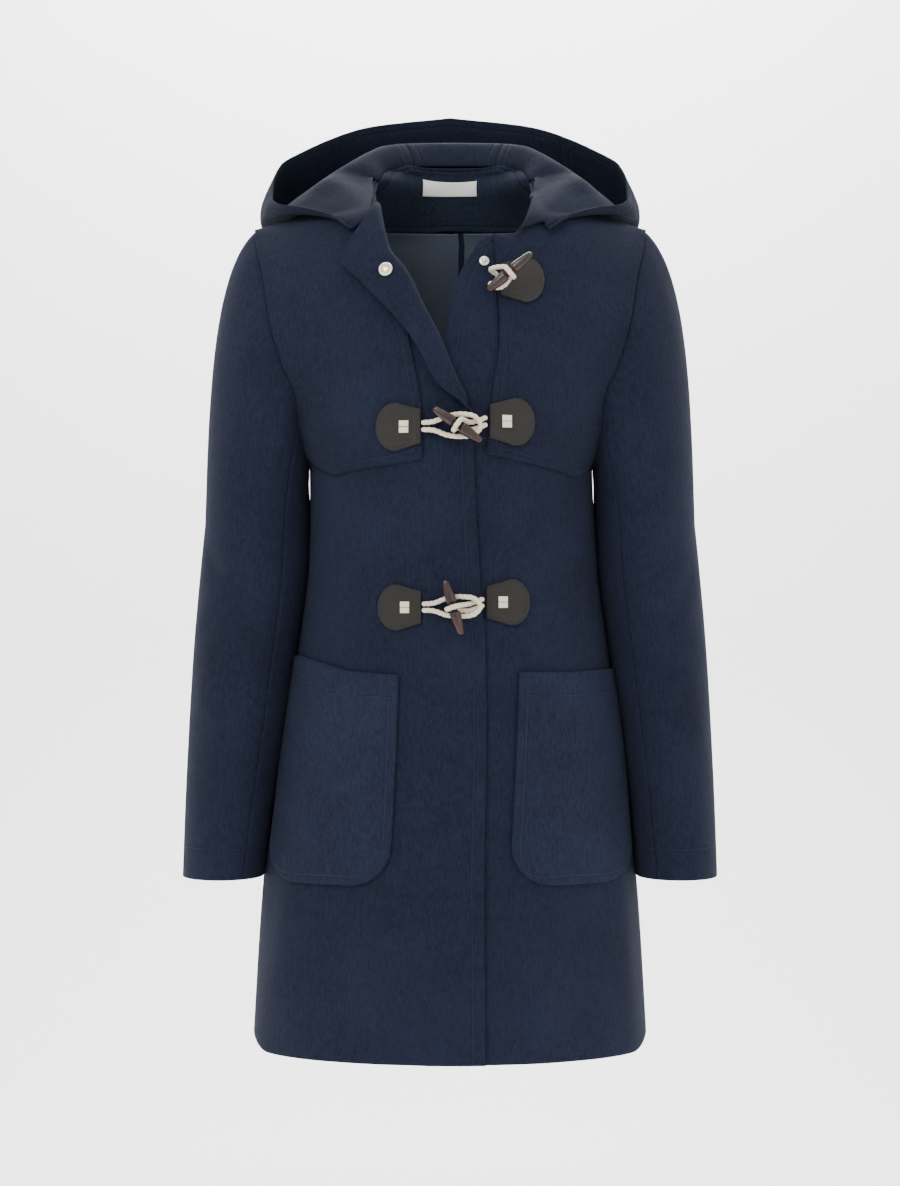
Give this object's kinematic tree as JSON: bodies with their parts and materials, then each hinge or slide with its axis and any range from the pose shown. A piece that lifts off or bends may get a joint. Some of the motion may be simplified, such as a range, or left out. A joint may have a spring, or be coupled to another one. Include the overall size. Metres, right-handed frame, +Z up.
{
  "type": "duffle coat",
  "caption": "Hooded duffle coat, filled out as worn, open at neck, cuffs and hem, with toggle and loop fastenings, two patch pockets and a turned lapel.",
  "frame": {"origin": "middle of the neck at shoulder level, where a wearer or a hanger holds the coat", "axes": "+Z up along the wearer, +X towards the wearer's left, +Y behind the wearer"},
  "size_m": [0.53, 0.3646, 0.9482],
  "materials": {
    "navy_wool": "matte brushed wool",
    "navy_lining": "satin lining",
    "brown_leather": "soft satin",
    "natural_cotton": "matte twisted cord",
    "brown_horn": "polished imitation horn",
    "nickel": "polished nickel",
    "label_cloth": "matte woven tape"
  },
  "bodies": {
    "root": {"front_left": "navy_wool", "front_right": "navy_wool", "back": "navy_wool", "yoke_left": "navy_wool", "yoke_right": "navy_wool", "pocket_left": "navy_wool", "pocket_right": "navy_wool", "sleeve_under_left": "navy_wool", "sleeve_under_right": "navy_wool", "sleeve_top_left": "navy_wool", "sleeve_top_right": "navy_wool", "hood_side_right": "navy_wool", "hood_centre": "navy_wool", "hood_side_left": "navy_wool", "facing_back": "navy_wool", "lining_back": "navy_lining", "label": "label_cloth", "patch_left_1": "brown_leather", "patch_left_2": "brown_leather", "patch_left_3": "brown_leather", "patch_right_2": "brown_leather", "patch_right_3": "brown_leather", "cord_end_left_2": "natural_cotton", "cord_end_left_3": "natural_cotton", "cord_end_right_2": "natural_cotton", "cord_end_right_3": "natural_cotton", "cord_1": "natural_cotton", "cord_2": "natural_cotton", "cord_3": "natural_cotton", "loop_2": "natural_cotton", "loop_3": "natural_cotton", "toggle_1": "brown_horn", "toggle_2": "brown_horn", "toggle_3": "brown_horn", "snap_socket": "nickel", "snap_stud": "nickel"}
  },
  "joints": []
}
